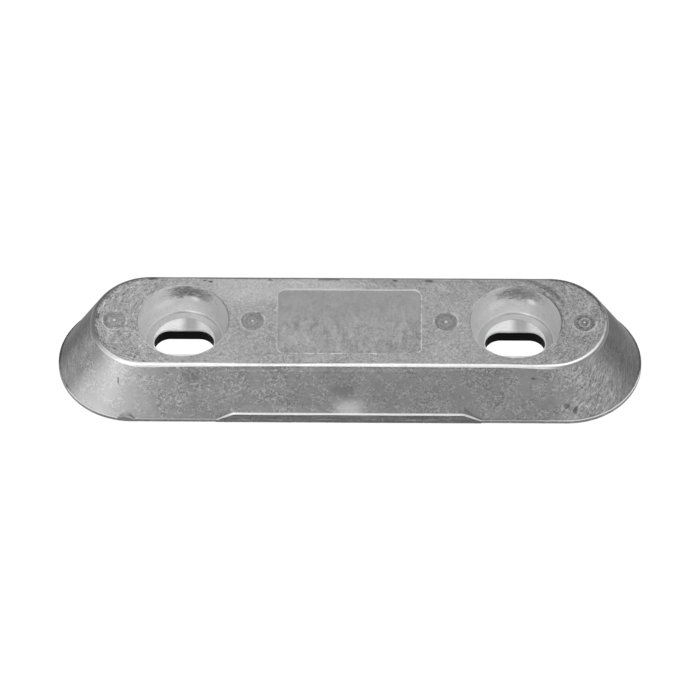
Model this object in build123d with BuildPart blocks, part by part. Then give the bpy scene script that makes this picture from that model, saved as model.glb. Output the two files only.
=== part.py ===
"""Bolt-on hull anode: one tapered alloy casting with two slotted plastic bolt inserts.

Millimetres. The origin is the centre of the underside, +X runs along the casting and
+Z points away from the hull.
"""
from build123d import *
import os

# Outline of the casting, before its top edge is rounded
BOLT_SPACING = 110.0
END_REACH = 42.3           # from a bolt's centre to the end of the foot
BASE_WIDTH = 50.8
HEIGHT = 22.0
END_INSET = 12.1           # how far the top face stops short of the foot at each end
SIDE_INSET = 6.4           # and along each side
EDGE_RADIUS = 1.3          # rounding between the top face and the sloping sides

# Upright rim round the foot, where the two halves of the mould met
RIM_HEIGHT = 1.4
RIM_LEDGE = 0.4            # how far the rim stands out from the foot of the slope

# Bolt recesses: a deep cup with a ring seat, and a spot face round the slot
CUP_MOUTH_RADIUS = 15.0
CUP_MOUTH_ROUNDING = 0.3
CUP_SEAT_RADIUS = 12.9
CUP_WALL_BULGE = 0.45      # how far the cup's wall bows out from a straight cone
SEAT_HEIGHT = 11.0
SEAT_CORNER = 0.45         # bevel where the cup's wall meets the ring seat
SEAT_FALL = 0.1            # the ring seat dips towards the spot face
SPOT_RADIUS = 10.25
SPOT_DEPTH = 0.2
SLOT_LENGTH = 20.0
SLOT_WIDTH = 10.5
WEB = 0.8                  # metal left between the spot face and the insert

# Plastic inserts, held in pockets of the underside by a rib
INSERT_THICKNESS = 4.2
INSERT_WALL = 5.4          # plastic between the slot and the pocket's wall
INSERT_CLEARANCE = 0.05
RIB_HEIGHT = 1.4
RIB_OUT = 0.7
RIB_DROP = 1.4             # from the insert's top face down to the rib

# Shallow name panel, left bare
PANEL_LENGTH = 47.6
PANEL_WIDTH = 27.4
PANEL_CORNER = 2.8
PANEL_DEPTH = 0.4

# Round marks of the mould's four ejector pins
EJECTOR_RADIUS = 4.0
EJECTOR_DEPTH = 0.25
EJECTOR_FROM_BOLT = 23.0   # the inner two, from the bolt beside each
EJECTOR_FROM_END = 7.5     # the outer two, from the end of the top face
EJECTOR_PIP_RADIUS = 0.45
EJECTOR_PIP_HEIGHT = 0.15

# Trimmed gate along one long side, and the stub of a vent beside it
GATE_TOP = 76.0
GATE_RAMP = 5.8            # how far each sloping end of the gate runs
GATE_HEIGHT = 4.3
GATE_PROUD = 0.15          # how far the sawn face stands out from the rim
GATE_DEPTH = 3.0           # from the sawn face back to inside the slope
GATE_CLIMB = 3.2           # how much the gate's top climbs over that depth
VENT_WIDTH = 5.6
VENT_HEIGHT = 3.1
VENT_FROM_END = 23.6

# Places worked out from the sizes above
BASE_LENGTH = BOLT_SPACING + 2 * END_REACH
TOP_LENGTH = BASE_LENGTH - 2 * END_INSET
TOP_WIDTH = BASE_WIDTH - 2 * SIDE_INSET
SPOT_HEIGHT = SEAT_HEIGHT - SEAT_FALL - SPOT_DEPTH
INSERT_TOP = SPOT_HEIGHT - WEB
INSERT_BOTTOM = INSERT_TOP - INSERT_THICKNESS
POCKET_LENGTH = SLOT_LENGTH + 2 * INSERT_WALL
POCKET_WIDTH = SLOT_WIDTH + 2 * INSERT_WALL
RIB_TOP = INSERT_TOP - RIB_DROP
GATE_FOOT = GATE_TOP + 2 * GATE_RAMP
VENT_X = VENT_FROM_END - BASE_LENGTH / 2
EJECTOR_X = (BOLT_SPACING / 2 - EJECTOR_FROM_BOLT, TOP_LENGTH / 2 - EJECTOR_FROM_END)
BOLT_PLACES = [(-BOLT_SPACING / 2, 0), (BOLT_SPACING / 2, 0)]
OVERCUT = 1.0              # how far a cutting tool runs past the face it leaves by


def slope_at(height):
    """Distance from the middle line to the sloping long side, at a height."""
    foot = BASE_WIDTH / 2 - RIM_LEDGE
    share = (height - RIM_HEIGHT) / (HEIGHT - RIM_HEIGHT)
    return foot + (TOP_WIDTH / 2 - foot) * share


# Cutting tool for one bolt cup: wall, ring seat and spot face, on the Z axis
with BuildPart() as cup:
    with BuildSketch(Plane.XZ):
        with BuildLine():
            mouth = (CUP_MOUTH_RADIUS, HEIGHT - CUP_MOUTH_ROUNDING)
            wall_foot = (CUP_SEAT_RADIUS, SEAT_HEIGHT + SEAT_CORNER)
            middle = (
                (mouth[0] + wall_foot[0]) / 2 + CUP_WALL_BULGE,
                (mouth[1] + wall_foot[1]) / 2,
            )
            Polyline(
                (0, SPOT_HEIGHT),
                (SPOT_RADIUS, SPOT_HEIGHT),
                (SPOT_RADIUS, SPOT_HEIGHT + SPOT_DEPTH),
                (CUP_SEAT_RADIUS - SEAT_CORNER, SEAT_HEIGHT),
                wall_foot,
            )
            ThreePointArc(wall_foot, middle, mouth)
            Polyline(
                mouth,
                (CUP_MOUTH_RADIUS + CUP_MOUTH_ROUNDING, HEIGHT),
                (CUP_MOUTH_RADIUS + CUP_MOUTH_ROUNDING, HEIGHT + OVERCUT),
                (0, HEIGHT + OVERCUT),
                (0, SPOT_HEIGHT),
            )
        make_face()
    revolve(axis=Axis.Z)

# Cutting tool for one insert pocket, with the groove that its rib snaps into
with BuildPart() as pocket:
    with BuildSketch(Plane.XY.offset(-OVERCUT)):
        SlotOverall(POCKET_LENGTH, POCKET_WIDTH)
    extrude(amount=INSERT_TOP + OVERCUT)
    with BuildSketch(Plane.XY.offset(RIB_TOP - RIB_HEIGHT - INSERT_CLEARANCE)):
        SlotOverall(POCKET_LENGTH + 2 * RIB_OUT, POCKET_WIDTH + 2 * RIB_OUT)
    extrude(amount=RIB_HEIGHT + 2 * INSERT_CLEARANCE)

# Gate stub: a flat sawn face, with a top and two ends that run back into the slope
with BuildPart() as gate:
    for depth, climb in ((0, 0), (GATE_DEPTH, GATE_CLIMB)):
        with BuildSketch(Plane.XZ.offset(BASE_WIDTH / 2 + GATE_PROUD - depth)):
            with BuildLine():
                Polyline(
                    (-GATE_FOOT / 2, 0),
                    (-GATE_FOOT / 2, RIM_HEIGHT),
                    (-GATE_TOP / 2, GATE_HEIGHT + climb),
                    (GATE_TOP / 2, GATE_HEIGHT + climb),
                    (GATE_FOOT / 2, RIM_HEIGHT),
                    (GATE_FOOT / 2, 0),
                    (-GATE_FOOT / 2, 0),
                )
            make_face()
    loft(ruled=True)

# Vent stub: a small flat face that keeps within the foot's outline
with BuildPart() as vent:
    with BuildSketch(Plane.XZ.offset(BASE_WIDTH / 2)):
        with BuildLine():
            Line((VENT_X - VENT_WIDTH / 2, 0), (VENT_X + VENT_WIDTH / 2, 0))
            ThreePointArc(
                (VENT_X + VENT_WIDTH / 2, 0),
                (VENT_X, VENT_HEIGHT),
                (VENT_X - VENT_WIDTH / 2, 0),
            )
        make_face()
    extrude(amount=-(BASE_WIDTH / 2 - slope_at(VENT_HEIGHT) + OVERCUT))
    with BuildSketch():
        SlotOverall(BASE_LENGTH, BASE_WIDTH)
    extrude(amount=VENT_HEIGHT, mode=Mode.INTERSECT)

# The casting
with BuildPart() as casting:
    # upright rim, then the sloping body above it
    with BuildSketch():
        SlotOverall(BASE_LENGTH, BASE_WIDTH)
    extrude(amount=RIM_HEIGHT)
    with BuildSketch(Plane.XY.offset(RIM_HEIGHT)):
        SlotOverall(BASE_LENGTH - 2 * RIM_LEDGE, BASE_WIDTH - 2 * RIM_LEDGE)
    with BuildSketch(Plane.XY.offset(HEIGHT)):
        SlotOverall(TOP_LENGTH, TOP_WIDTH)
    loft(ruled=True)
    fillet(casting.edges().group_by(Axis.Z)[-1], EDGE_RADIUS)

    # gate and vent stubs on the long side at -Y
    add(gate.part)
    add(vent.part)

    # bolt cups from above, insert pockets from below, and the slot between them
    with Locations(*BOLT_PLACES):
        add(cup.part, mode=Mode.SUBTRACT)
        add(pocket.part, mode=Mode.SUBTRACT)
    with BuildSketch(Plane.XY.offset(INSERT_TOP)):
        with Locations(*BOLT_PLACES):
            SlotOverall(SLOT_LENGTH, SLOT_WIDTH)
    extrude(amount=SPOT_HEIGHT - INSERT_TOP, mode=Mode.SUBTRACT)

    # shallow name panel
    with BuildSketch(Plane.XY.offset(HEIGHT)):
        RectangleRounded(PANEL_LENGTH, PANEL_WIDTH, PANEL_CORNER)
    extrude(amount=-PANEL_DEPTH, mode=Mode.SUBTRACT)

    # ejector marks, each with a pip left by the pin's centre
    marks = [(side * x, 0) for side in (-1, 1) for x in EJECTOR_X]
    with BuildSketch(Plane.XY.offset(HEIGHT)):
        with Locations(*marks):
            Circle(EJECTOR_RADIUS)
    extrude(amount=-EJECTOR_DEPTH, mode=Mode.SUBTRACT)
    with BuildSketch(Plane.XY.offset(HEIGHT - EJECTOR_DEPTH)):
        with Locations(*marks):
            Circle(EJECTOR_PIP_RADIUS)
    extrude(amount=EJECTOR_PIP_HEIGHT)


def make_insert(place):
    """One slotted plastic insert with its retaining rib, at a bolt's place."""
    with BuildPart() as insert:
        with BuildSketch(Plane.XY.offset(INSERT_BOTTOM)):
            with Locations(place):
                SlotOverall(POCKET_LENGTH - 2 * INSERT_CLEARANCE, POCKET_WIDTH - 2 * INSERT_CLEARANCE)
        extrude(amount=INSERT_THICKNESS)
        with BuildSketch(Plane.XY.offset(RIB_TOP)):
            with Locations(place):
                rib_reach = 2 * (RIB_OUT - INSERT_CLEARANCE)
                SlotOverall(POCKET_LENGTH + rib_reach, POCKET_WIDTH + rib_reach)
        extrude(amount=-RIB_HEIGHT)
        with BuildSketch(Plane.XY.offset(INSERT_BOTTOM)):
            with Locations(place):
                SlotOverall(SLOT_LENGTH, SLOT_WIDTH)
        extrude(amount=INSERT_THICKNESS, mode=Mode.SUBTRACT)
    return insert.part


os.makedirs("parts", exist_ok=True)

casting.part.label = "anode_casting"
export_step(casting.part, "parts/anode_casting.step")

for name, place in zip(("bolt_insert_left", "bolt_insert_right"), BOLT_PLACES):
    bolt_insert = make_insert(place)
    bolt_insert.label = name
    export_step(bolt_insert, f"parts/{name}.step")
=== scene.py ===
"""Looks of the hull anode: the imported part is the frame, and the casting is refined here."""

import math
from collections import namedtuple
from types import SimpleNamespace

import bpy
import numpy as np
from mathutils import Matrix, Vector, noise


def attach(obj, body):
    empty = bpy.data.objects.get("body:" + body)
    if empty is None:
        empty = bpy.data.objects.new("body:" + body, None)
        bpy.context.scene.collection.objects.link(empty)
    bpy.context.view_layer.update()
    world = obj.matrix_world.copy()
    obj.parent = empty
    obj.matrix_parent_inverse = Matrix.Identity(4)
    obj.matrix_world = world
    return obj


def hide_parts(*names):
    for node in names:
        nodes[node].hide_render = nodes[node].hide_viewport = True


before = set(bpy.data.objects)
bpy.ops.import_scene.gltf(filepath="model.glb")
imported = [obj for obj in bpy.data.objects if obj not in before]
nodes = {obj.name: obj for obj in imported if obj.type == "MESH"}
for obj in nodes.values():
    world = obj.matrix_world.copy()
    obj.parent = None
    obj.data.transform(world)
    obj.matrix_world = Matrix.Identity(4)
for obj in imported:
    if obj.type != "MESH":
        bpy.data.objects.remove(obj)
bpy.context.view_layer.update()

MM = 0.001

# Places of the casting's features, in millimetres, as the CAD has them
HEIGHT = 22.0
RIM_TOP = 1.4
FOOT_RADIUS = 25.4
FOOT_CENTRE = 71.9         # centre of each round end, at the foot
TOP_CENTRE = 66.2          # and at the top face
TOP_FLAT = 18.0            # half width of the top face, up to its rounded edge
BOLT_X = 55.0
CUP_RADIUS = 15.3
SEAT_RADIUS = 12.9
SEAT_Z = 11.0
SPOT_RADIUS = 10.25
EJECTOR_X = (32.0, 77.7)
EJECTOR_RADIUS = 4.0
PANEL_LENGTH = 47.6
PANEL_WIDTH = 27.4
PANEL_CORNER = 2.8
GATE_Y = -25.55            # the sawn face
GATE_TOP_END = 38.0        # half length of the gate, along its top and along the hull
GATE_END = 43.8
GATE_HEIGHT = 4.3
VENT_X = -73.7

# Camera: its angle was fitted to the outline, the cups, the seats and the slots
CAMERA_ELEVATION = math.radians(50.731)
CAMERA_YAW = math.radians(1.205)
CAMERA_ROLL = math.radians(-0.652)
CAMERA_TARGET = Vector((0.187, -3.405, 11.0)) * MM
CAMERA_DISTANCE = 1.5
FOCAL_PIXELS = 4520.1
PICTURE_PIXELS = 700.0
SENSOR_WIDTH = 36.0
CLIP_NEAR = 0.05
CLIP_FAR = 20.0

# Fine mesh of the casting, in millimetres
SEEN_EDGE = 1.25           # longest edge where the part is seen
HIDDEN_EDGE = 4.0          # and underneath, in the pockets and in the slots
RELIEF_DEPTH = 0.03
RELIEF_WAVE = 7.0
ROUGH_DEPTH = 0.015
ROUGH_WAVE = 1.9
RELIEF_MOST = 0.12
SHARP_ANGLE = math.radians(24)

# How light each place is, from 0 for black to 1 for white
TONE = SimpleNamespace(
    # Painted shade: the sloping sides darker than the top face, and lighter at the left than at the right
    slope_left=0.275,
    slope_right=0.225,
    # Painted light on the front of the left end
    slope_lit_front_left=0.47,
    slope_soft=0.44,
    # Painted shade at the far left and at the back of both ends
    far_left=0.235,
    left_back=0.060,
    right_back=0.112,
    top=0.384,
    panel=0.360,
    mark_inner=0.265,
    mark_left=0.30,
    mark_right=0.255,
    # Painted light: the cups lighter than the top face and lighter at the left, with a painted highlight
    # on the back wall
    cup_left=0.83,
    cup_right=0.57,
    cup_painted_glint=0.95,
    high_wall_left=0.19,
    high_wall_right=0.25,
    # Painted light on the seats, painted shade on their corners, and a painted reflection on the faced
    # rings
    seat_left=0.52,
    seat_front=0.36,
    seat_back=0.56,
    seat_corner=0.30,
    spot_left=0.88,
    spot_right=0.72,
    # Painted reflection: the dark band on the faced ring
    spot_dark_reflection=0.40,
    # Painted shade at the back of the rounded edge, on its inner side at the left end and its outer side
    # at the right end; painted highlight at its front
    edge_back=0.22,
    edge_back_ends=0.15,
    edge_front=0.76,
    edge_front_left=0.72,
    edge_inner_left=0.15,
    edge_outer_right=0.24,
    rim=0.165,
    gate=0.125,
    gate_fleck=0.34,
    vent_low=0.17,
    vent_high=0.36,
    underside=0.36,
    # Painted highlight on the thin bright lines along the edges
    edge_highlight=0.88,
    darkest=0.02,
    lightest=0.95,
)

# How plainly each painted edge highlight shows, from 0 for not at all to 1
HIGHLIGHT = SimpleNamespace(
    gate=0.88,
    rim_left=0.8,
    rim_middle=0.55,
    panel=0.68,
    mark=0.48,
    pip=0.6,
    mouth=0.55,
    seat=0.30,
    edge_back=0.45,
    edge_front=0.8,
)

# How strongly the skin's grain and wear stir its tone, and how far calm stretches damp that
STIR = SimpleNamespace(
    slope=0.95,
    slope_left=0.35,
    slope_right=0.25,
    top=0.90,
    top_left=0.30,
    top_right=0.32,
    cloud=0.55,
    smooth_grain=0.42,
    smooth_cloud=0.35,
    smooth_coarse=0.35,
    smooth_elsewhere=0.8,
    panel_back=0.9,
    panel_front=1.8,
    scuffs=1.6,
    swirls=1.5,
    rings=1.6,
    wide_rings=0.26,
    fine_rings=0.10,
    streaks_left=2.0,
    streaks_right=1.7,
    streak_lines=0.34,
    scratches=2.0,
    scratch_lines=0.5,
    under_streaks=-0.6,
    # Calmer grain in the painted lit patch at the front of the left end
    clean=0.34,
    soft=0.3,
    pale_back=0.6,
)

# Metal and roughness of the skin, the cups, their painted highlight patches and the rounded edge
METAL = SimpleNamespace(skin=0.7, cup=0.25, painted_glint=0.05)
ROUGH = SimpleNamespace(skin=0.46, cup=0.36, edge=0.40, grain=0.25, coarse=0.15)

# Single nicks and stains: centre and half sizes in millimetres, and how dark each one is
Nick = namedtuple("Nick", "x y z wide deep tall tone")
NICKS = (
    Nick(-48.2, 17.2, HEIGHT, 0.7, 0.35, 1.0, 0.75),
    Nick(-46.3, 16.7, HEIGHT, 0.9, 0.35, 1.0, 0.75),
    Nick(-83.3, 1.6, HEIGHT, 0.7, 1.6, 1.0, 0.6),
    Nick(-65.8, 18.0, HEIGHT, 2.0, 0.7, 1.0, 0.6),
    Nick(-26.6, 17.6, HEIGHT, 1.0, 0.5, 1.0, 0.6),
    Nick(-7.0, 17.9, HEIGHT, 4.0, 0.6, 1.0, 0.45),
    Nick(15.0, 17.6, HEIGHT, 1.2, 0.5, 1.0, 0.6),
    Nick(26.2, 17.5, HEIGHT, 1.6, 0.6, 1.0, 0.6),
    Nick(-75.9, -17.5, 14.7, 0.30, 6.0, 1.5, 0.75),
    Nick(-94.1, -11.9, 1.5, 0.45, 0.95, 0.8, 0.8),
    Nick(71.8, -22.8, 6.7, 1.3, 4.0, 1.0, 0.45),
    Nick(74.8, -22.8, 5.0, 0.9, 4.0, 1.6, 0.55),
    Nick(60.6, -21.0, 17.3, 0.9, 4.0, 0.5, 0.55),
    Nick(-52.0, -21.0, 17.8, 3.4, 4.0, 2.2, 0.22),
    Nick(-2.0, -22.0, 12.8, 4.5, 4.0, 2.6, 0.2),
)


# ---------------------------------------------------------------- camera
def aim_camera():
    """Looks from the photograph's viewing angle."""
    back = Vector((
        math.sin(CAMERA_YAW) * math.cos(CAMERA_ELEVATION),
        -math.cos(CAMERA_YAW) * math.cos(CAMERA_ELEVATION),
        math.sin(CAMERA_ELEVATION),
    ))
    right = Vector((math.cos(CAMERA_YAW), math.sin(CAMERA_YAW), 0.0))
    up = back.cross(right)
    tilted_right = right * math.cos(CAMERA_ROLL) + up * math.sin(CAMERA_ROLL)
    tilted_up = up * math.cos(CAMERA_ROLL) - right * math.sin(CAMERA_ROLL)
    data = bpy.data.cameras.new("camera")
    data.sensor_width = SENSOR_WIDTH
    data.lens = SENSOR_WIDTH * FOCAL_PIXELS / PICTURE_PIXELS
    data.clip_start = CLIP_NEAR
    data.clip_end = CLIP_FAR
    camera = bpy.data.objects.new("camera", data)
    bpy.context.scene.collection.objects.link(camera)
    turn = Matrix((tilted_right, tilted_up, back)).transposed().to_4x4()
    camera.matrix_world = Matrix.Translation(CAMERA_TARGET + back * CAMERA_DISTANCE) @ turn
    bpy.context.scene.camera = camera


# ---------------------------------------------------------------- node graphs
class Graph:
    """A material's node graph, written as short calls. Lengths are in millimetres."""

    def __init__(self, name):
        self.material = bpy.data.materials.new(name)
        self.material.use_nodes = True
        self.tree = self.material.node_tree
        self.tree.nodes.clear()
        self.out = self.node("ShaderNodeOutputMaterial")
        self.shader = self.node("ShaderNodeBsdfPrincipled")
        self.link(self.shader.outputs[0], self.out.inputs[0])
        where = self.node("ShaderNodeTexCoord")
        scaled = self.node("ShaderNodeVectorMath")
        scaled.operation = "SCALE"
        scaled.inputs["Scale"].default_value = 1.0 / MM
        self.link(where.outputs["Object"], scaled.inputs[0])
        self.place = scaled.outputs[0]
        split = self.node("ShaderNodeSeparateXYZ")
        self.link(self.place, split.inputs[0])
        self.x, self.y, self.z = split.outputs

    def node(self, kind):
        return self.tree.nodes.new(kind)

    def link(self, output, socket):
        self.tree.links.new(output, socket)

    def put(self, socket, value):
        if isinstance(value, bpy.types.NodeSocket):
            self.link(value, socket)
        else:
            socket.default_value = value

    def math(self, operation, *values):
        node = self.node("ShaderNodeMath")
        node.operation = operation
        for socket, value in zip(node.inputs, values):
            self.put(socket, value)
        return node.outputs[0]

    def chain(self, operation, values):
        total = values[0]
        for value in values[1:]:
            total = self.math(operation, total, value)
        return total

    def add(self, *values):
        return self.chain("ADD", values)

    def times(self, *values):
        return self.chain("MULTIPLY", values)

    def most(self, *values):
        return self.chain("MAXIMUM", values)

    def least(self, *values):
        return self.chain("MINIMUM", values)

    def less(self, a, b):
        return self.math("SUBTRACT", a, b)

    def absolute(self, a):
        return self.math("ABSOLUTE", a)

    def length(self, across, along):
        return self.math("SQRT", self.add(self.times(across, across), self.times(along, along)))

    def vector(self, x, y, z):
        node = self.node("ShaderNodeCombineXYZ")
        for socket, value in zip(node.inputs, (x, y, z)):
            self.put(socket, value)
        return node.outputs[0]

    def vector_math(self, operation, *values):
        node = self.node("ShaderNodeVectorMath")
        node.operation = operation
        for socket, value in zip(node.inputs, values):
            self.put(socket, value)
        return node.outputs[0]

    def ramp(self, value, start, end, low=0.0, high=1.0):
        """Smoothly from low at start to high at end, and flat beyond them."""
        node = self.node("ShaderNodeMapRange")
        node.interpolation_type = "SMOOTHSTEP"
        node.clamp = True
        numbers = (start, end, low, high) if start < end else (end, start, high, low)
        for socket, number in zip(node.inputs, (value, *numbers)):
            self.put(socket, number)
        return node.outputs[0]

    def band(self, value, centre, half, solid):
        """1 within solid of the centre, fading to 0 at half."""
        return self.ramp(self.absolute(self.less(value, centre)), half, solid)

    def mix(self, share, a, b):
        node = self.node("ShaderNodeMix")
        node.data_type = "FLOAT"
        self.put(node.inputs[0], share)
        self.put(node.inputs[2], a)
        self.put(node.inputs[3], b)
        return node.outputs[0]

    def outside(self, mask):
        """1 where the mask is 0, and 0 where it is 1."""
        return self.less(1.0, mask)

    def swing(self, wave, amount):
        """A noise brought round zero, times an amount."""
        return self.times(self.less(wave, 0.5), amount)

    def shade(self, tone, mask, change):
        """The tone, lighter by a share of itself where the mask is 1, or darker below 0."""
        return self.times(tone, self.add(1.0, self.times(mask, change)))

    def stretched(self, scale, turn=0.0):
        """The place, turned about Z and stretched, for streaks."""
        node = self.node("ShaderNodeMapping")
        node.inputs["Scale"].default_value = scale
        node.inputs["Rotation"].default_value = (0.0, 0.0, turn)
        self.put(node.inputs[0], self.place)
        return node.outputs[0]

    def noise(self, size, detail=2.0, rough=0.5, distort=0.0, at=None):
        """Noise from 0 to 1 whose features are about size millimetres across."""
        node = self.node("ShaderNodeTexNoise")
        self.put(node.inputs["Vector"], self.place if at is None else at)
        node.inputs["Scale"].default_value = 1.0 / size
        node.inputs["Detail"].default_value = detail
        node.inputs["Roughness"].default_value = rough
        node.inputs["Distortion"].default_value = distort
        return node.outputs[0]

    def wisps(self, size, width, distort, at):
        """Thin curling lines, 1 on the line and 0 away from it."""
        wave = self.noise(size, 1.0, 0.55, distort, at)
        return self.band(wave, 0.5, width, 0.0)

    def curls(self, size, half_width, warp, shift=0.0):
        """Thin curling lines of even width, cut in pieces: the light ones and the dark ones."""
        moved = self.vector_math("ADD", self.place, (shift, shift, shift))
        wave = self.node("ShaderNodeTexNoise")
        wave.inputs["Scale"].default_value = 1.0 / size
        wave.inputs["Detail"].default_value = 1.0
        self.put(wave.inputs["Vector"], moved)
        cells = self.node("ShaderNodeTexVoronoi")
        cells.feature = "DISTANCE_TO_EDGE"
        cells.inputs["Scale"].default_value = 1.0 / size
        warped = self.vector_math("MULTIPLY_ADD", wave.outputs[1], (warp, warp, warp), moved)
        self.put(cells.inputs["Vector"], warped)
        line = self.ramp(cells.outputs[0], half_width / size, 0.25 * half_width / size)
        piece = self.noise(size * 0.8, 1.0, 0.5, 0.0, moved)
        light = self.times(line, self.ramp(piece, 0.48, 0.56))
        dark = self.times(line, self.ramp(piece, 0.52, 0.44))
        return light, dark

    def bump(self, height, strength, distance):
        node = self.node("ShaderNodeBump")
        node.inputs["Strength"].default_value = strength
        node.inputs["Distance"].default_value = distance * MM
        self.put(node.inputs["Height"], height)
        self.link(node.outputs[0], self.shader.inputs["Normal"])

    def grey(self, value):
        """The material's colour, a grey of one lightness."""
        node = self.node("ShaderNodeCombineColor")
        for socket in node.inputs:
            self.put(socket, value)
        self.link(node.outputs[0], self.shader.inputs["Base Color"])


# ---------------------------------------------------------------- zones of the casting
# The two numbers of a ramp along x, y, z or a distance are the places where it starts and ends,
# in millimetres. A band has its centre, and its half widths at nothing and at full strength.
def end_distance(g, centre):
    """Distance from the middle line, taken round the centre of the end beyond it."""
    return g.length(g.most(g.less(g.absolute(g.x), centre), 0.0), g.y)


def panel_distance(g):
    """Distance from the panel's rounded outline, negative inside it."""
    across = g.less(g.absolute(g.x), PANEL_LENGTH / 2 - PANEL_CORNER)
    along = g.less(g.absolute(g.y), PANEL_WIDTH / 2 - PANEL_CORNER)
    outer = g.length(g.most(across, 0.0), g.most(along, 0.0))
    inner = g.least(g.most(across, along), 0.0)
    return g.less(g.add(outer, inner), PANEL_CORNER)


def measure(g, zone):
    """Distances that the zones and their wear are told by."""
    zone.side = g.math("SIGN", g.x)
    zone.right_half = g.ramp(g.x, -1.0, 1.0)
    zone.bolt_x = g.less(g.x, g.times(zone.side, BOLT_X))
    zone.bolt = g.length(zone.bolt_x, g.y)
    zone.top_far = end_distance(g, TOP_CENTRE)
    zone.foot_far = end_distance(g, FOOT_CENTRE)
    zone.panel_gap = panel_distance(g)
    zone.ejector = g.least(*[g.length(g.less(g.absolute(g.x), place), g.y) for place in EJECTOR_X])


def mark_faces(g, zone):
    """A mask for each face, with a soft border of some hundredths or tenths of a millimetre."""
    zone.cup = g.times(
        g.ramp(zone.bolt, CUP_RADIUS - 0.1, CUP_RADIUS - 0.25),
        g.ramp(g.z, HEIGHT - 0.2, HEIGHT - 0.4),
    )
    zone.seat = g.times(
        g.ramp(zone.bolt, SEAT_RADIUS - 0.1, SEAT_RADIUS - 0.5),
        g.ramp(g.z, SEAT_Z + 0.5, SEAT_Z + 0.2),
    )
    zone.spot = g.times(
        g.ramp(zone.bolt, SPOT_RADIUS + 0.05, SPOT_RADIUS - 0.05),
        g.ramp(g.z, SEAT_Z, SEAT_Z - 0.1),
    )
    zone.fillet = g.times(
        g.ramp(zone.top_far, TOP_FLAT - 0.05, TOP_FLAT + 0.2),
        g.ramp(g.z, HEIGHT - 1.15, HEIGHT - 0.95),
    )
    zone.top = g.times(
        g.ramp(g.z, HEIGHT - 0.9, HEIGHT - 0.6), g.outside(zone.cup), g.outside(zone.fillet),
    )
    zone.panel = g.times(g.ramp(zone.panel_gap, 0.05, -0.05), zone.top)
    zone.disc = g.times(
        g.ramp(zone.ejector, EJECTOR_RADIUS + 0.05, EJECTOR_RADIUS - 0.05), zone.top,
    )
    zone.underside = g.ramp(g.z, 0.3, 0.05)
    zone.slope = g.times(g.outside(zone.underside), g.outside(zone.top))


def mark_foot(g, zone):
    """Masks of the rim, the sawn gate and the vent's face."""
    zone.gate = g.times(
        g.ramp(g.y, GATE_Y + 0.09, GATE_Y + 0.05),
        g.ramp(g.absolute(g.x), GATE_END + 0.1, GATE_END),
    )
    zone.rim = g.times(
        g.ramp(zone.foot_far, FOOT_RADIUS - 0.1, FOOT_RADIUS - 0.02),
        g.ramp(g.z, RIM_TOP + 0.02, RIM_TOP - 0.06),
        g.outside(zone.gate),
    )
    zone.vent = g.times(g.band(g.x, VENT_X, 3.0, 2.8), g.ramp(g.y, -24.7, -24.85))


def mark_wear(g, zone):
    """Masks of the stretches where the skin looks different, and of a painted lit patch at the front of
    the left end.
    """
    x, y, z = g.x, g.y, g.z
    zone.streaked = g.times(
        zone.slope, g.ramp(g.absolute(x), 78.0, 88.0),
        g.mix(zone.right_half, g.ramp(y, -15.0, -4.0), 0.8),
    )
    front = g.times(zone.slope, g.ramp(y, -10.0, -17.0))
    zone.scratched = g.times(front, g.ramp(x, 66.0, 76.0), g.ramp(x, 93.0, 86.0))
    # Painted light: the front of the left end, where the lamp at the front left falls
    zone.clean = g.times(front, g.ramp(x, -56.0, -80.0))
    zone.soft = g.times(
        g.band(x, 0.0, 7.0, 1.0), g.band(z, 5.5, 4.5, 1.0), g.ramp(y, -20.0, -22.0),
    )
    zone.pale_back = g.times(zone.top, g.ramp(y, 4.0, 12.0), g.band(x, -22.0, 32.0, 18.0))
    zone.left_end = g.ramp(x, -70.0, -76.0)


def mark_glow(g, zone):
    """Where a painted highlight lies on the back wall of each cup: a small bright patch and a wide one.
    """
    patch_x = g.mix(zone.right_half, 3.2, 5.4)
    patch_z = 16.2
    wide_x = -6.5
    wide_z = 15.4
    zone.glow = g.length(
        g.times(g.less(zone.bolt_x, patch_x), 0.42), g.times(g.less(g.z, patch_z), 0.62),
    )
    wide = g.length(
        g.times(g.less(zone.bolt_x, wide_x), 0.24), g.times(g.less(g.z, wide_z), 0.42),
    )
    both = g.most(g.ramp(zone.glow, 1.0, 0.1), g.ramp(wide, 1.1, 0.2))
    # Painted highlight on the back wall of each cup
    zone.painted_glint = g.times(both, g.ramp(g.y, 6.0, 9.0))


def casting_zones(g):
    """All masks, 1 inside and 0 outside, and the distances they come from."""
    zone = SimpleNamespace()
    measure(g, zone)
    mark_faces(g, zone)
    mark_foot(g, zone)
    mark_wear(g, zone)
    mark_glow(g, zone)
    return zone


# ---------------------------------------------------------------- relief of the cast skin's tone
def skin_waves(g):
    """The noises and curling lines that the skin is made of."""
    waves = SimpleNamespace()
    waves.grain = g.noise(0.5, detail=2.0, rough=0.8)
    waves.coarse = g.noise(1.5, detail=3.0, rough=0.7, distort=0.5)
    waves.blotch = g.noise(3.8, detail=3.0, rough=0.65, distort=0.6)
    waves.cloud = g.noise(9.0, detail=3.0, rough=0.6, distort=0.7)
    waves.worked = g.ramp(g.noise(5.5, detail=3.0, rough=0.6, distort=1.2), 0.42, 0.54)
    wide_light, wide_dark = g.curls(size=1.3, half_width=0.15, warp=2.4)
    fine_light, fine_dark = g.curls(size=0.95, half_width=0.13, warp=1.4, shift=17.0)
    fine_share = 0.75
    waves.hair = g.most(wide_light, g.times(fine_light, fine_share))
    waves.dark_hair = g.most(wide_dark, g.times(fine_dark, fine_share))
    return waves


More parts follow.
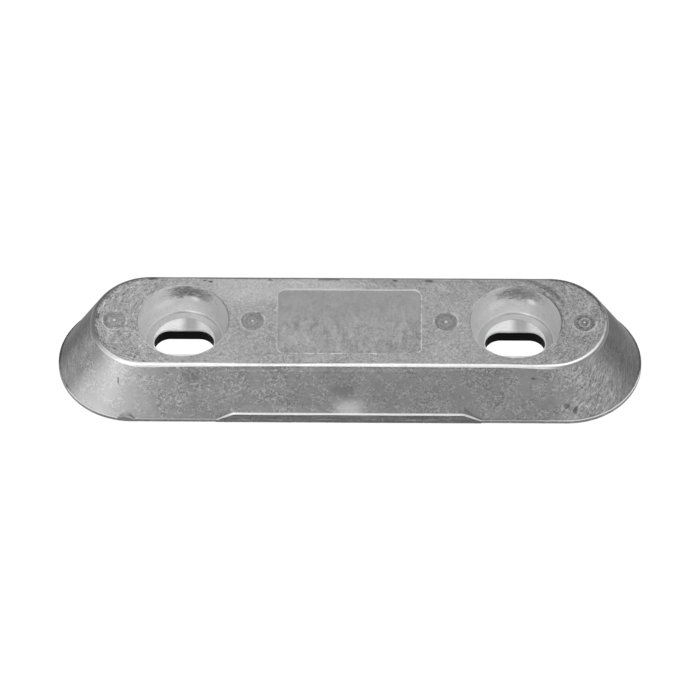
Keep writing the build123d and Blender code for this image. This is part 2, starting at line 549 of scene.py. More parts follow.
def even_skin(g, zone, waves):
    """Grain and flow lines, stronger in worked patches and different on the top face."""
    def amount(plain, more):
        return g.add(plain, g.times(waves.worked, more))

    grain = g.mix(zone.top, amount(0.30, 0.42), 0.75)
    coarse = g.mix(zone.top, amount(0.15, 0.35), 0.6)
    light = g.mix(zone.top, amount(0.08, 0.46), amount(0.20, 0.20))
    dark = g.mix(zone.top, amount(-0.03, -0.22), amount(-0.15, -0.15))
    return g.add(
        g.swing(waves.grain, grain),
        g.swing(waves.coarse, coarse),
        g.swing(waves.cloud, STIR.cloud),
        g.times(waves.hair, light),
        g.times(waves.dark_hair, dark),
    )


def edge_scuffs(g, zone):
    """Scuffs that follow the left end's edge on the top face."""
    around = g.math("ARCTAN2", g.y, g.less(g.absolute(g.x), TOP_CENTRE))
    at = g.vector(zone.top_far, g.times(around, 2.5), zone.side)
    wave = g.noise(0.6, detail=2.0, rough=0.7, distort=0.3, at=at)
    scuffed = g.times(zone.top, g.ramp(g.x, -60.0, -72.0), g.ramp(zone.top_far, 14.5, 17.0))
    return g.swing(wave, g.times(scuffed, STIR.scuffs))


def cup_swirls(g, zone):
    """Lines that swirl round the cups, on the ends of the top face."""
    around = g.math("ARCTAN2", g.y, g.times(zone.bolt_x, zone.side))
    at = g.vector(zone.bolt, g.times(around, 2.6), g.times(zone.side, 7.0))
    wave = g.noise(0.5, detail=2.0, rough=0.75, distort=0.9, at=at)
    swirled = g.times(zone.top, g.ramp(g.absolute(g.x), 56.0, 64.0), g.outside(zone.disc))
    return g.swing(wave, g.times(swirled, STIR.swirls))


def mark_rings(g, zone, waves):
    """Turned rings in the ejector marks, the plainest in the mark at the right end."""
    at = g.vector(zone.ejector, g.times(zone.side, 9.0), g.times(g.x, 0.12))
    wave = g.noise(0.55, detail=2.0, rough=0.7, distort=0.5, at=at)
    wide = g.times(g.add(zone.ejector, g.swing(waves.coarse, 1.6), -1.7), 2.85)
    fine = g.times(g.add(zone.ejector, g.swing(waves.blotch, 1.4)), 6.6)
    plain = g.add(
        g.times(g.math("COSINE", wide), STIR.wide_rings),
        g.times(g.math("COSINE", fine), STIR.fine_rings),
    )
    last_mark = g.ramp(g.x, 69.0, 71.0)
    rings = g.swing(wave, g.times(zone.disc, STIR.rings))
    return g.add(rings, g.times(plain, zone.disc, last_mark))


def end_streaks(g, zone):
    """Streaks across the sloping ends, parallel to the part's width."""
    across = 1.25
    along = 0.19
    at = g.vector(g.times(g.x, across), g.times(g.y, along), g.times(g.z, along))
    wave = g.noise(0.62, detail=3.0, rough=0.75, distort=0.45, at=at)
    lines = g.wisps(1.1, width=0.04, distort=0.5, at=at)
    strength = g.mix(zone.right_half, STIR.streaks_left, STIR.streaks_right)
    return g.add(
        g.swing(wave, g.times(zone.streaked, strength)),
        g.times(lines, zone.streaked, STIR.streak_lines),
    )


def end_scratches(g, zone):
    """Slanted scratches on the front of the right end."""
    slant_cos = 0.81
    slant_sin = 0.58
    across = g.less(g.times(g.x, slant_cos), g.times(g.z, slant_sin))
    along = g.add(g.times(g.x, slant_sin), g.times(g.z, slant_cos))
    at = g.vector(across, g.times(along, 0.2), 0.0)
    wave = g.noise(0.40, detail=3.0, rough=0.8, distort=0.8, at=at)
    lines = g.wisps(0.9, width=0.05, distort=0.4, at=at)
    return g.add(
        g.swing(wave, g.times(zone.scratched, STIR.scratches)),
        g.times(lines, zone.scratched, STIR.scratch_lines),
    )


def cast_skin(g, zone, waves):
    """How much lighter or darker the cast skin is from place to place, round zero."""
    skin = g.add(
        g.shade(even_skin(g, zone, waves), zone.streaked, STIR.under_streaks),
        edge_scuffs(g, zone),
        cup_swirls(g, zone),
        mark_rings(g, zone, waves),
        end_streaks(g, zone),
        end_scratches(g, zone),
    )
    on_slope = g.add(
        STIR.slope,
        g.ramp(g.x, -10.0, -30.0, 0.0, STIR.slope_left),
        g.ramp(g.x, 20.0, 45.0, 0.0, STIR.slope_right),
    )
    on_top = g.add(
        STIR.top,
        g.ramp(g.x, -56.0, -68.0, 0.0, STIR.top_left),
        g.ramp(g.x, 52.0, 64.0, 0.0, STIR.top_right),
    )
    lively = g.mix(zone.top, on_slope, on_top)
    calm = g.times(
        # Calmer grain in the painted lit patch at the front of the left end
        g.mix(zone.clean, 1.0, STIR.clean),
        g.mix(zone.soft, 1.0, STIR.soft),
        g.mix(zone.pale_back, 1.0, STIR.pale_back),
    )
    return g.times(skin, lively, calm)


def smooth_skin(g, zone, waves):
    """The same for the smooth places: cups, panel, rounded edge and vent."""
    smooth = g.add(
        g.swing(waves.grain, STIR.smooth_grain),
        g.swing(waves.cloud, STIR.smooth_cloud),
        g.swing(waves.coarse, STIR.smooth_coarse),
    )
    on_panel = g.ramp(g.y, 3.0, -6.0, STIR.panel_back, STIR.panel_front)
    smooth = g.times(smooth, g.mix(zone.panel, STIR.smooth_elsewhere, on_panel))
    mottle = g.noise(1.7, detail=3.0, rough=0.7, distort=0.8, at=g.stretched((1.0, 0.4, 1.0)))
    mottled = g.times(zone.panel, g.ramp(g.y, 9.0, -3.0, 0.30, 1.15))
    haired = g.times(zone.panel, g.ramp(g.y, 6.0, -6.0, 0.04, 0.14))
    return g.add(
        smooth, g.swing(mottle, mottled), g.times(g.less(waves.hair, waves.dark_hair), haired),
    )


# ---------------------------------------------------------------- how light each zone is
def slope_tone(g, zone):
    """The sloping sides, painted darker than the top face and lighter towards the left as the light
    falls, and the ends, which painted shade turns dark towards the back.
    """
    x, y, z = g.x, g.y, g.z
    # Painted shade: the sides darker than the top face, and lighter to the left than to the right
    tone = g.mix(g.ramp(x, -60.0, 10.0), TONE.slope_left, TONE.slope_right)
    # Painted light on the front of the left end
    tone = g.mix(zone.clean, tone, TONE.slope_lit_front_left)
    # Painted shade on the far left, at the back of both ends and high on both ends towards the back
    far_left = g.times(g.ramp(x, -82.0, -90.0), g.ramp(y, -17.0, -8.0))
    tone = g.mix(far_left, tone, TONE.far_left)
    left_back = g.times(g.ramp(x, -78.0, -84.0), g.ramp(y, -8.0, 2.0))
    tone = g.mix(left_back, tone, TONE.left_back)
    right_back = g.times(g.ramp(x, 77.0, 86.0), g.ramp(y, -15.0, -5.0))
    tone = g.mix(right_back, tone, TONE.right_back)
    high_right = g.times(g.ramp(x, 74.0, 82.0), g.ramp(y, -3.0, 5.0), g.ramp(z, 2.0, 19.0, 0.05, 0.62))
    high_left = g.times(g.ramp(x, -74.0, -82.0), g.ramp(y, 1.0, 9.0), g.ramp(z, 6.0, 19.0, 0.1, 0.5))
    tone = g.times(tone, g.outside(g.most(high_right, high_left)))
    tone = g.shade(tone, zone.scratched, 0.26)
    return g.mix(zone.soft, tone, TONE.slope_soft)


def top_tone(g, zone, tone):
    """The top face, a flow mark round the right cup, the panel and the ejector marks."""
    x, y = g.x, g.y
    right_fall = 0.055
    flow_y = 1.0
    flow_radius = 17.0
    face = g.add(TONE.top, g.times(g.ramp(x, 30.0, 75.0), -right_fall))
    flow_far = g.length(g.less(x, BOLT_X), g.less(y, flow_y))
    flow = g.times(
        g.band(flow_far, flow_radius, 1.5, 0.2), g.ramp(zone.bolt_x, -2.0, 5.0),
        g.ramp(y, 4.0, 9.0), g.ramp(x, 40.0, 50.0),
    )
    face = g.shade(face, flow, -0.38)
    face = g.shade(face, zone.pale_back, 0.30)
    tone = g.mix(zone.top, tone, face)
    tone = g.mix(zone.panel, tone, TONE.panel)
    outer_disc = g.ramp(x, 60.0, 70.0, TONE.mark_left, TONE.mark_right)
    disc = g.mix(g.ramp(g.absolute(x), 60.0, 50.0), outer_disc, TONE.mark_inner)
    return g.mix(zone.disc, tone, disc)


def cup_tone(g, zone, tone):
    """The cups' walls, painted lighter than the top face and lighter at the left as the light falls, with
    a painted highlight at the back, and their mouths, darkened on the right by painted shade.
    """
    # Painted light: the wall lighter at the left than at the right
    wall = g.mix(g.ramp(zone.bolt_x, 0.0, 12.0), TONE.cup_left, TONE.cup_right)
    # Painted highlight on the back wall
    wall = g.mix(zone.painted_glint, wall, TONE.cup_painted_glint)
    tone = g.mix(zone.cup, tone, wall)
    mouth = g.times(
        g.band(zone.bolt, CUP_RADIUS - 0.15, 0.35, 0.25), g.ramp(g.z, HEIGHT - 0.5, HEIGHT - 0.4),
    )
    # Painted shade on the right side of each cup's rounded mouth
    shaded = g.times(mouth, g.ramp(zone.bolt_x, -4.0, 2.0), g.mix(zone.right_half, 0.2, 0.42))
    return g.times(tone, g.outside(shaded))


def seat_tone(g, zone, tone):
    """The ring seats, painted lighter to the left and the back as the light falls; the corner round each
    one, darkened by painted shade; and the faced ring round the slot, whose tones are a painted
    reflection.
    """
    # Painted light: the seat lighter at the left, and at the right lighter at the back than at the front
    right = g.ramp(g.y, 2.0, 9.0, TONE.seat_front, TONE.seat_back)
    tone = g.mix(zone.seat, tone, g.mix(g.ramp(zone.bolt_x, -9.0, 10.0), TONE.seat_left, right))
    # Painted shade on the corner round the seat, except at the left
    corner = g.times(
        g.band(zone.bolt, SEAT_RADIUS - 0.28, 0.32, 0.16),
        g.ramp(g.z, SEAT_Z + 0.45, SEAT_Z + 0.3),
        g.ramp(zone.bolt_x, -6.0, -2.0),
    )
    tone = g.mix(corner, tone, TONE.seat_corner)
    # Painted reflection: the faced ring brighter at the left than at the right
    faced = g.mix(g.ramp(zone.bolt_x, 0.0, 8.0), TONE.spot_left, TONE.spot_right)
    return g.mix(zone.spot, tone, faced)


def edge_tone(g, zone, waves, tone):
    """The rounded edge of the top: dark at the back with painted shade, bright at the front with a
    painted highlight.
    """
    x, y = g.x, g.y
    # Painted shade along the back of the edge, darkest at the ends
    back_ends = g.times(g.ramp(g.absolute(x), 66.0, 74.0), g.ramp(y, 2.0, 8.0))
    tone = g.mix(zone.fillet, tone, g.mix(back_ends, TONE.edge_back, TONE.edge_back_ends))
    # Painted highlight along the front of the edge
    front = g.mix(zone.left_end, g.ramp(y, 3.0, -15.0), g.ramp(y, -6.0, -15.0))
    front_tone = g.mix(g.ramp(x, -64.0, -76.0), TONE.edge_front, TONE.edge_front_left)
    tone = g.mix(g.times(zone.fillet, front), tone, front_tone)
    # Painted shade on the inner side of the edge at the left end
    inner = g.times(
        zone.fillet, g.ramp(x, -66.0, -74.0),
        g.ramp(zone.top_far, TOP_FLAT + 0.6, TOP_FLAT + 0.35), 0.75,
    )
    tone = g.mix(inner, tone, TONE.edge_inner_left)
    # Painted shade on the outer side of the edge at the right end
    outer = g.times(
        zone.fillet, g.ramp(x, 62.0, 72.0),
        g.ramp(zone.top_far, TOP_FLAT + 0.55, TOP_FLAT + 0.9), 0.85,
    )
    tone = g.mix(outer, tone, TONE.edge_outer_right)
    # Painted shade in broken patches on the back of the edge at the right end
    back_edge = g.times(
        g.band(zone.top_far, TOP_FLAT, 0.6, 0.2), g.ramp(x, 64.0, 70.0),
        g.ramp(y, 4.0, 9.0), g.ramp(waves.coarse, 0.40, 0.52),
    )
    return g.shade(tone, back_edge, -0.5)


def foot_tone(g, zone, tone):
    """The upright rim, the sawn gate and the vent, which is lighter towards its top."""
    vent_crest = VENT_X - 0.6
    tone = g.mix(zone.rim, tone, TONE.rim)
    tone = g.mix(zone.gate, tone, TONE.gate)
    reach = g.add(g.z, g.times(g.absolute(g.less(g.x, vent_crest)), 0.42))
    return g.mix(zone.vent, tone, g.ramp(reach, 2.1, 2.8, TONE.vent_low, TONE.vent_high))


def high_wall_tone(g, zone, tone):
    """Darker streaky patches high on the back wall of each cup."""
    centre_x = 1.9
    centre_z = 19.6
    brushed_at = g.stretched((0.5, 0.5, 1.0), turn=0.3)
    brushed = g.noise(0.9, detail=3.0, rough=0.75, distort=1.0, at=brushed_at)
    off = g.add(
        g.math("POWER", g.times(g.less(zone.bolt_x, centre_x), 0.118), 2.0),
        g.math("POWER", g.times(g.less(g.z, centre_z), 0.27), 2.0),
        g.swing(brushed, 3.0),
    )
    dark_patch = g.times(
        zone.cup, g.ramp(g.y, 8.0, 10.0), g.ramp(off, 1.35, -0.1), g.ramp(zone.glow, 0.3, 0.9),
    )
    return g.mix(dark_patch, tone, g.mix(zone.right_half, TONE.high_wall_left, TONE.high_wall_right))


def band_and_underside_tone(g, zone, tone):
    """A darker band across the faced ring behind each slot, a painted reflection, and the plain
    underside.
    """
    # Painted reflection: a dark band on the faced ring
    dark_reflection = g.times(zone.spot, g.band(zone.bolt_x, 2.0, 4.2, 0.8), g.ramp(g.y, 4.0, 6.0), 0.95)
    tone = g.mix(dark_reflection, tone, TONE.spot_dark_reflection)
    return g.mix(zone.underside, tone, TONE.underside)


def left_rim_tone(g, zone, waves, tone):
    """A dark broken line round the left end of the top face."""
    line = g.times(
        g.band(zone.top_far, TOP_FLAT - 0.25, 0.42, 0.15), zone.top, g.ramp(g.x, -66.0, -72.0),
        g.ramp(waves.coarse, 0.40, 0.52), g.ramp(g.y, -16.0, -10.0),
    )
    return g.shade(tone, line, -0.55)


def saw_tone(g, zone, tone):
    """Saw lines along the gate, and paler flecks among them."""
    saw = g.noise(0.45, detail=2.0, rough=0.6, at=g.vector(g.times(g.x, 0.03), g.z, 0.0))
    tone = g.shade(tone, zone.gate, g.swing(saw, 2.6))
    flecks = g.noise(1.1, detail=2.0, rough=0.6, at=g.stretched((0.22, 1.0, 3.0)))
    fleck_z = 1.6
    shown = g.times(zone.gate, g.band(g.z, fleck_z, 0.6, 0.2), g.ramp(flecks, 0.55, 0.66), 0.7)
    return g.mix(shown, tone, TONE.gate_fleck)


def nick_tone(g, waves, tone):
    """Single nicks and stains, with ragged outlines."""
    for nick in NICKS:
        level = g.length(
            g.times(g.less(g.x, nick.x), 1 / nick.wide),
            g.times(g.less(g.y, nick.y), 1 / nick.deep),
        )
        off = g.length(level, g.times(g.less(g.z, nick.z), 1 / nick.tall))
        ragged = g.add(off, g.swing(waves.coarse, 1.6))
        tone = g.times(tone, g.outside(g.ramp(ragged, 1.15, 0.55, 0.0, nick.tone)))
    return tone


def casting_tone(g, zone, waves):
    """The tone of the whole casting: each step covers what the steps before it left there."""
    tone = slope_tone(g, zone)
    tone = top_tone(g, zone, tone)
    tone = cup_tone(g, zone, tone)
    tone = seat_tone(g, zone, tone)
    tone = edge_tone(g, zone, waves, tone)
    tone = foot_tone(g, zone, tone)
    tone = high_wall_tone(g, zone, tone)
    tone = band_and_underside_tone(g, zone, tone)
    tone = left_rim_tone(g, zone, waves, tone)
    tone = saw_tone(g, zone, tone)
    return nick_tone(g, waves, tone)


# ---------------------------------------------------------------- painted highlights on edges
def gate_line(g):
    """The painted highlight on the gate's upper edge, which falls towards both of its ends."""
    fall = 0.5
    past_top = g.most(g.less(g.absolute(g.x), GATE_TOP_END), 0.0)
    edge = g.less(GATE_HEIGHT + 0.05, g.times(past_top, fall))
    return g.times(
        g.band(g.z, edge, 0.48, 0.14), g.ramp(g.y, GATE_Y + 0.55, GATE_Y + 0.35),
        g.ramp(g.absolute(g.x), GATE_END + 0.2, GATE_END - 0.2), HIGHLIGHT.gate,
    )


def rim_line(g, zone):
    """The painted highlight on the upper edge of the rim, bright along the front."""
    right = g.mix(g.ramp(g.x, 60.0, 74.0), HIGHLIGHT.rim_middle, g.ramp(g.y, -2.0, -8.0))
    left = g.times(g.ramp(g.y, -9.0, -16.0), HIGHLIGHT.rim_left)
    return g.times(
        g.band(g.z, RIM_TOP + 0.02, 0.28, 0.08),
        g.ramp(zone.foot_far, FOOT_RADIUS - 0.4, FOOT_RADIUS - 0.3),
        g.outside(zone.gate), g.mix(zone.left_end, right, left), g.outside(zone.vent),
    )


def panel_line(g, zone, waves):
    """The painted highlight on the panel's outline: whole at the far side, broken along the near one."""
    far_side = g.ramp(g.y, 11.0, 13.2)
    near_side = g.ramp(g.y, -11.0, -13.2)
    right_side = g.times(g.ramp(g.x, 21.0, 23.0), g.ramp(waves.coarse, 0.46, 0.54))
    left_side = g.ramp(g.x, -21.0, -23.0, 0.15, 0.5)
    broken = g.times(near_side, g.ramp(waves.blotch, 0.48, 0.56))
    shown = g.most(far_side, right_side, broken, left_side)
    line = g.band(zone.panel_gap, g.times(near_side, 0.15), 0.27, 0.08)
    return g.times(line, zone.top, shown, HIGHLIGHT.panel)


def disc_line(g, zone, waves):
    """The painted highlight on the outline of each ejector mark."""
    line = g.band(zone.ejector, EJECTOR_RADIUS, 0.40, 0.12)
    return g.times(line, zone.top, g.ramp(waves.blotch, 0.40, 0.60), HIGHLIGHT.mark)


def mouth_line(g, zone, waves):
    """The painted highlight on the edge of each cup, at the front and at the left of the back."""
    left_back = g.times(g.ramp(zone.bolt_x, 2.0, -6.0), g.ramp(g.y, 2.0, 8.0))
    return g.times(
        g.band(zone.bolt, CUP_RADIUS - 0.1, 0.40, 0.12), g.ramp(g.z, HEIGHT - 0.6, HEIGHT - 0.4),
        g.ramp(waves.blotch, 0.25, 0.5), g.most(left_back, g.ramp(g.y, -3.0, -8.0)), HIGHLIGHT.mouth,
    )


def seat_line(g, zone):
    """The painted highlight on the edge of each ring seat."""
    line = g.band(zone.bolt, SEAT_RADIUS - 0.1, 0.35, 0.12)
    return g.times(line, g.ramp(g.z, SEAT_Z + 0.8, SEAT_Z + 0.6), HIGHLIGHT.seat)


def right_edge_line(g, zone, waves):
    """The painted highlight on the rounded edge at the right end of the top: broken at the back, whole at
    the front.
    """
    back = g.times(g.ramp(g.y, 9.0, 3.0), g.ramp(waves.coarse, 0.38, 0.52), HIGHLIGHT.edge_back)
    front = g.ramp(g.y, -6.0, -13.0, 0.0, HIGHLIGHT.edge_front)
    line = g.band(zone.top_far, TOP_FLAT + 0.55, 0.45, 0.2)
    return g.times(line, zone.fillet, g.ramp(g.x, 58.0, 68.0), g.most(back, front))


def painted_edge_highlights(g, zone, waves):
    """Thin bright lines along the edges: painted highlights."""
    # Painted highlight on the pip in the middle of each ejector mark
    pip = g.times(g.ramp(zone.ejector, 0.6, 0.3), zone.top, HIGHLIGHT.pip)
    return g.most(
        gate_line(g),
        rim_line(g, zone),
        panel_line(g, zone, waves),
        disc_line(g, zone, waves),
        pip,
        mouth_line(g, zone, waves),
        seat_line(g, zone),
        right_edge_line(g, zone, waves),
    )


# ---------------------------------------------------------------- materials
def cast_alloy():
    """Cast aluminium alloy: its skin, the smooth cups, the faced seats and the sawn gate."""
    g = Graph("cast_alloy")
    zone = casting_zones(g)
    waves = skin_waves(g)
    tame = g.most(zone.cup, zone.panel, zone.fillet, zone.vent)
    skin = g.mix(tame, cast_skin(g, zone, waves), smooth_skin(g, zone, waves))
    value = g.times(casting_tone(g, zone, waves), g.add(1.0, skin))
    # Painted highlights along the edges
    value = g.mix(painted_edge_highlights(g, zone, waves), value, TONE.edge_highlight)
    g.grey(g.least(g.most(value, TONE.darkest), TONE.lightest))
    # Less metal in the painted highlight, so that it shows lighter
    cup_metal = g.mix(zone.painted_glint, METAL.cup, METAL.painted_glint)
    g.put(g.shader.inputs["Metallic"], g.mix(zone.cup, METAL.skin, cup_metal))
    rough = g.add(
        g.mix(zone.cup, ROUGH.skin, ROUGH.cup),
        g.swing(waves.grain, ROUGH.grain),
        g.swing(waves.coarse, ROUGH.coarse),
    )
    g.put(g.shader.inputs["Roughness"], g.mix(zone.fillet, rough, ROUGH.edge))
    height = g.add(g.times(waves.grain, 0.45), g.times(waves.coarse, 0.8))
    g.bump(g.times(height, g.mix(tame, 1.0, 0.2)), strength=0.6, distance=0.10)
    return g.material


def black_plastic():
    """Moulded black plastic with a faint grain."""
    black = 0.0015
    grain_tone = 0.003
    shine = 0.05
    g = Graph("black_plastic")
    grain = g.noise(0.5, detail=3.0, rough=0.6)
    g.grey(g.add(black, g.times(grain, grain_tone)))
    g.put(g.shader.inputs["Roughness"], g.ramp(grain, 0.2, 0.8, 0.55, 0.7))
    g.shader.inputs["Specular IOR Level"].default_value = shine
    g.bump(grain, strength=0.3, distance=0.03)
    return g.material


# ---------------------------------------------------------------- fine mesh of the casting
SIDES = [[0, 1], [1, 2], [2, 0]]

# Ways to cut a triangle: 0 to 2 are its corners, and 3 to 5 the middles of its three sides
CUT_ONE_SIDE = [(0, 3, 2), (3, 1, 2)]
CUT_TIP = [(3, 1, 4)]
CUT_REST_BY_MIDDLE = [(0, 3, 4), (0, 4, 2)]
CUT_REST_BY_CORNER = [(0, 3, 2), (3, 4, 2)]
CUT_THREE_SIDES = [(0, 3, 5), (3, 1, 4), (4, 2, 5), (3, 4, 5)]


def read_mesh(item):
    """Points, triangles and a normal for each corner of a CAD node, in millimetres."""
    mesh = item.data
    mesh.calc_loop_triangles()
    points = np.empty(len(mesh.vertices) * 3)
    mesh.vertices.foreach_get("co", points)
    points = points.reshape(-1, 3) / MM
    count = len(mesh.loop_triangles)
    tris = np.empty(count * 3, dtype=np.int32)
    mesh.loop_triangles.foreach_get("vertices", tris)
    loops = np.empty(count * 3, dtype=np.int32)
    mesh.loop_triangles.foreach_get("loops", loops)
    normals = np.empty(len(mesh.loops) * 3)
    mesh.corner_normals.foreach_get("vector", normals)
    normals = normals.reshape(-1, 3)[loops].reshape(-1, 3, 3)
    first, where = np.unique(
        np.round(points, 4), axis=0, return_index=True, return_inverse=True
    )[1:]
    return points[first], where.reshape(-1)[tris].reshape(-1, 3), normals


def unit(rows):
    return rows / np.maximum(np.linalg.norm(rows, axis=-1, keepdims=True), 1e-12)


def edge_keys(pairs, count):
    """One number for each pair of points, the same from either side."""
    pairs = np.sort(pairs.reshape(-1, 2), axis=1)
    return pairs[:, 0].astype(np.int64) * count + pairs[:, 1]


def hidden_side(p):
    """True on the underside and in the pockets and slots that open from it."""
    pocket_reach = 17.0
    pocket_height = 10.65
    bolt = np.minimum(np.hypot(p[:, 0] - BOLT_X, p[:, 1]), np.hypot(p[:, 0] + BOLT_X, p[:, 1]))
    return (p[:, 2] < 0.05) | ((bolt < pocket_reach) & (p[:, 2] < pocket_height))


def edge_limit(p):
    """The longest edge that is left at each point: short where the part is seen."""
    return np.where(hidden_side(p), HIDDEN_EDGE, SEEN_EDGE)


def edge_bends(points, tris, normals, edge, count):
    """How far the middle of each edge bows out, by the normals at its two ends.

    Where the two triangles of an edge differ, the larger bow counts.
    """
    bend = np.zeros((count, 3))
    reach = np.zeros(count)
    for side, (a, b) in enumerate(SIDES):
        start, end = points[tris[:, a]], points[tris[:, b]]
        lift_a = ((end - start) * normals[:, a]).sum(1, keepdims=True)
        lift_b = ((start - end) * normals[:, b]).sum(1, keepdims=True)
        ask = -(lift_a * normals[:, a] + lift_b * normals[:, b]) / 8
        much = np.linalg.norm(ask, axis=1)
        rows = np.argsort(much, kind="stable")
        ids = edge[rows, side]
        better = much[rows] > reach[ids]
        bend[ids[better]] = ask[rows][better]
        reach[ids[better]] = much[rows][better]
    return bend


def turned(rows, start, *tables):
    """Some rows of three of each table, turned so that the item at start comes first."""
    order = (start[:, None] + np.arange(3)) % 3
    index = np.arange(len(start))[:, None]
    return [table[rows][index, order] for table in tables]


def cut(ways, tris, middles, normals):
    """New triangles and their corner normals, by the given ways to cut."""
    six_points = np.hstack([tris, middles])
    halfway = unit(normals + np.roll(normals, -1, axis=1))
    six_normals = np.concatenate([normals, halfway], axis=1)
    return [(six_points[:, way], six_normals[:, way]) for way in ways]


def cut_two_sides(points, tris, middles, normals):
    """Cuts off the tip between sides 0 and 1, and halves the rest along its shorter diagonal."""
    pieces = cut(CUT_TIP, tris, middles, normals)
    by_middle = np.linalg.norm(points[tris[:, 0]] - points[middles[:, 1]], axis=1)
    by_corner = np.linalg.norm(points[middles[:, 0]] - points[tris[:, 2]], axis=1)
    near = by_middle < by_corner
    for rows, ways in ((near, CUT_REST_BY_MIDDLE), (~near, CUT_REST_BY_CORNER)):
        pieces += cut(ways, tris[rows], middles[rows], normals[rows])
    return pieces


def split_long_edges(points, tris, normals, longest):
    """One pass: halves the longest edge of each triangle where it is over its limit.

    A new point follows the curve that the corner normals give, so round walls stay round.
    """
    pairs = tris[:, SIDES]
    first, edge = np.unique(
        edge_keys(pairs, len(points)), return_index=True, return_inverse=True
    )[1:]
    count = len(first)
    edge = edge.reshape(-1, 3)
    ends = np.sort(pairs.reshape(-1, 2), axis=1)[first]
    length = np.linalg.norm(points[ends[:, 0]] - points[ends[:, 1]], axis=1)
    middle = (points[ends[:, 0]] + points[ends[:, 1]]) / 2
    ratio = length / longest(middle)
    worst_edge = edge[np.arange(len(tris)), np.argmax(ratio[edge], axis=1)]
    marked = np.zeros(count, bool)
    marked[worst_edge[ratio[worst_edge] > 1.0]] = True
    if not marked.any():
        return points, tris, normals, False
    new_id = np.full(count, -1)
    new_id[marked] = len(points) + np.arange(marked.sum())
    bend = edge_bends(points, tris, normals, edge, count)
    points = np.vstack([points, (middle + bend)[marked]])

    # the triangles with none, one, two or three marked sides, turned so that those come first
    flags = marked[edge]
    middles = new_id[edge]
    whole, one, two, three = [np.where(flags.sum(1) == number)[0] for number in range(4)]
    pieces = [(tris[whole], normals[whole])]
    first_marked = np.argmax(flags[one], axis=1)
    pieces += cut(CUT_ONE_SIDE, *turned(one, first_marked, tris, middles, normals))
    after_unmarked = (np.argmin(flags[two], axis=1) + 1) % 3
    pieces += cut_two_sides(points, *turned(two, after_unmarked, tris, middles, normals))
    pieces += cut(CUT_THREE_SIDES, tris[three], middles[three], normals[three])
    new_tris, new_normals = zip(*pieces)
    return points, np.vstack(new_tris), np.vstack(new_normals), True


def relief(points):
    """How far the cast skin lies under the CAD's surface, in millimetres."""
    drop = np.zeros(len(points))
    still = hidden_side(points)
    for i, (x, y, z) in enumerate(points):
        if still[i]:
            continue
        waves = noise.fractal(Vector((x, y, z)) / RELIEF_WAVE, 1.0, 2.0, 3)
        rough = noise.noise(Vector((x, y, z)) / ROUGH_WAVE)
        drop[i] = RELIEF_DEPTH - RELIEF_DEPTH * waves + ROUGH_DEPTH * rough
    return np.clip(drop, 0.0, RELIEF_MOST)


def lowered(points, tris, normals):
    """The points, moved inwards by the relief of the skin."""
    direction = np.zeros_like(points)
    for corner in range(3):
        np.add.at(direction, tris[:, corner], normals[:, corner])
    return points - unit(direction) * relief(points)[:, None]


def keep_sharp(mesh, tris, normals, count):
    """Smooth shading, except at edges whose two sides have different normals."""
    ends = unit(normals[:, SIDES].mean(axis=2)).reshape(-1, 3)
    key = edge_keys(tris[:, SIDES], count)
    order = np.argsort(key, kind="stable")
    a, b = order[0::2], order[1::2]
    sharp_keys = key[a][(ends[a] * ends[b]).sum(1) < math.cos(SHARP_ANGLE)]
    edges = np.empty(len(mesh.edges) * 2, dtype=np.int32)
    mesh.edges.foreach_get("vertices", edges)
    mesh.shade_smooth()
    sharp = mesh.attributes.new("sharp_edge", "BOOLEAN", "EDGE")
    sharp.data.foreach_set("value", np.isin(edge_keys(edges, count), sharp_keys))


def refined_casting(item):
    """The casting's own mesh: the CAD's surface in short edges, with the relief of its skin."""
    points, tris, normals = read_mesh(item)
    box_low, box_high = points.min(axis=0), points.max(axis=0)
    more = True
    while more:
        points, tris, normals, more = split_long_edges(points, tris, normals, edge_limit)
    moved = np.clip(lowered(points, tris, normals), box_low, box_high)
    mesh = bpy.data.meshes.new("anode_casting_skin")
    mesh.from_pydata((moved * MM).tolist(), [], tris.tolist())
    keep_sharp(mesh, tris, normals, len(points))
    skin = bpy.data.objects.new("anode_casting_skin", mesh)
    bpy.context.scene.collection.objects.link(skin)
    print("casting triangles", len(tris), "points", len(points))
    return skin


# ---------------------------------------------------------------- room
def room_light():
    """An even grey surround, which the metal reflects."""
    world = bpy.data.worlds.new("studio")
    bpy.context.scene.world = world
    world.use_nodes = True
    tree = world.node_tree
    tree.nodes.clear()
    out = tree.nodes.new("ShaderNodeOutputWorld")
    surround = tree.nodes.new("ShaderNodeBackground")
    surround.inputs["Color"].default_value = (0.55, 0.55, 0.55, 1.0)
    surround.inputs["Strength"].default_value = 1.0
    tree.links.new(surround.outputs[0], out.inputs[0])


def lamp(name, place, aim, width, depth, power):
    """A soft rectangular lamp, in metres and watts, that the camera doesn't see."""
    data = bpy.data.lights.new(name, "AREA")
    data.shape = "RECTANGLE"
    data.size = width
    data.size_y = depth
    data.energy = power
    item = bpy.data.objects.new(name, data)
    bpy.context.scene.collection.objects.link(item)
    item.location = place
    item.rotation_mode = "QUATERNION"
    item.rotation_quaternion = (Vector(aim) - Vector(place)).to_track_quat("-Z", "Y")
    item.visible_camera = False


def lamps():
    middle = (0.0, 0.0, 0.0)
    left_front = (-0.05, 0.0, 0.01)
    lamp("overhead", (0.0, 0.1, 1.0), middle, width=1.2, depth=0.9, power=3.6)
    lamp("front_high", (-0.45, -0.75, 0.9), middle, width=0.5, depth=0.5, power=4.0)
    lamp("front_left_low", (-0.75, -0.75, 0.16), left_front, width=0.35, depth=0.25, power=1.6)


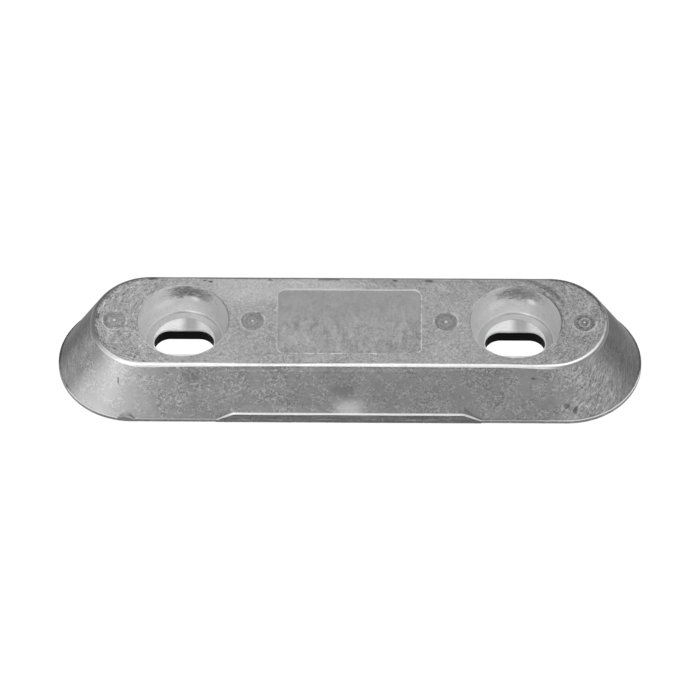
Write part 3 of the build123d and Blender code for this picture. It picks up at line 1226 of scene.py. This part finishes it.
def white_floor(g):
    """What is seen of the floor: nearly white by itself, and the rest is its shading. Under the part's
    foot it is a little brighter, painted light over the shade seen there through the slots.
    """
    white = g.node("ShaderNodeEmission")
    # Painted light: the floor under the part shines brighter
    g.put(white.inputs["Strength"], g.mix(under_part(g), 0.9, 1.0))
    shade = g.node("ShaderNodeBsdfDiffuse")
    shade.inputs["Color"].default_value = (0.16, 0.16, 0.16, 1.0)
    both = g.node("ShaderNodeAddShader")
    g.link(white.outputs[0], both.inputs[0])
    g.link(shade.outputs[0], both.inputs[1])
    return both.outputs[0]


def under_part(g):
    """1 on the floor under the part's foot."""
    return g.ramp(end_distance(g, FOOT_CENTRE), FOOT_RADIUS - 0.4, FOOT_RADIUS - 0.5)


def either(g, share, first, second):
    """One shader where the share is 0, and the other where it is 1."""
    pick = g.node("ShaderNodeMixShader")
    g.put(pick.inputs[0], share)
    g.link(first, pick.inputs[1])
    g.link(second, pick.inputs[2])
    return pick.outputs[0]


def pale_floor():
    """A plain pale floor. From below it is see-through under the part, so that the underside shows."""
    g = Graph("floor")
    g.shader.inputs["Base Color"].default_value = (0.85, 0.85, 0.85, 1.0)
    g.shader.inputs["Roughness"].default_value = 0.9
    g.shader.inputs["Specular IOR Level"].default_value = 0.0
    ray = g.node("ShaderNodeLightPath").outputs
    seen = g.most(ray["Is Camera Ray"], ray["Is Glossy Ray"], ray["Is Transmission Ray"])
    surface = either(g, seen, g.shader.outputs[0], white_floor(g))
    below = g.node("ShaderNodeNewGeometry").outputs["Backfacing"]
    clear = g.node("ShaderNodeBsdfTransparent").outputs[0]
    g.link(either(g, g.times(below, under_part(g)), surface, clear), g.out.inputs[0])
    return g.material


def floor():
    """The floor, a hair above the part's underside, so that the two don't lie in one plane."""
    reach = 4.0
    lift = 0.02 * MM
    mesh = bpy.data.meshes.new("floor")
    corners = [(-reach, -reach, lift), (reach, -reach, lift), (reach, reach, lift), (-reach, reach, lift)]
    mesh.from_pydata(corners, [], [(0, 1, 2, 3)])
    mesh.materials.append(pale_floor())
    ground = bpy.data.objects.new("floor", mesh)
    bpy.context.scene.collection.objects.link(ground)


# ---------------------------------------------------------------- the scene
bpy.context.scene.view_settings.view_transform = "Standard"
aim_camera()
room_light()
lamps()
floor()

skin = refined_casting(nodes["anode_casting"])
skin.data.materials.append(cast_alloy())
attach(skin, "root")
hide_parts("anode_casting")

plastic = black_plastic()
for name in ("bolt_insert_left", "bolt_insert_right"):
    item = nodes[name]
    item.data.materials.clear()
    item.data.materials.append(plastic)
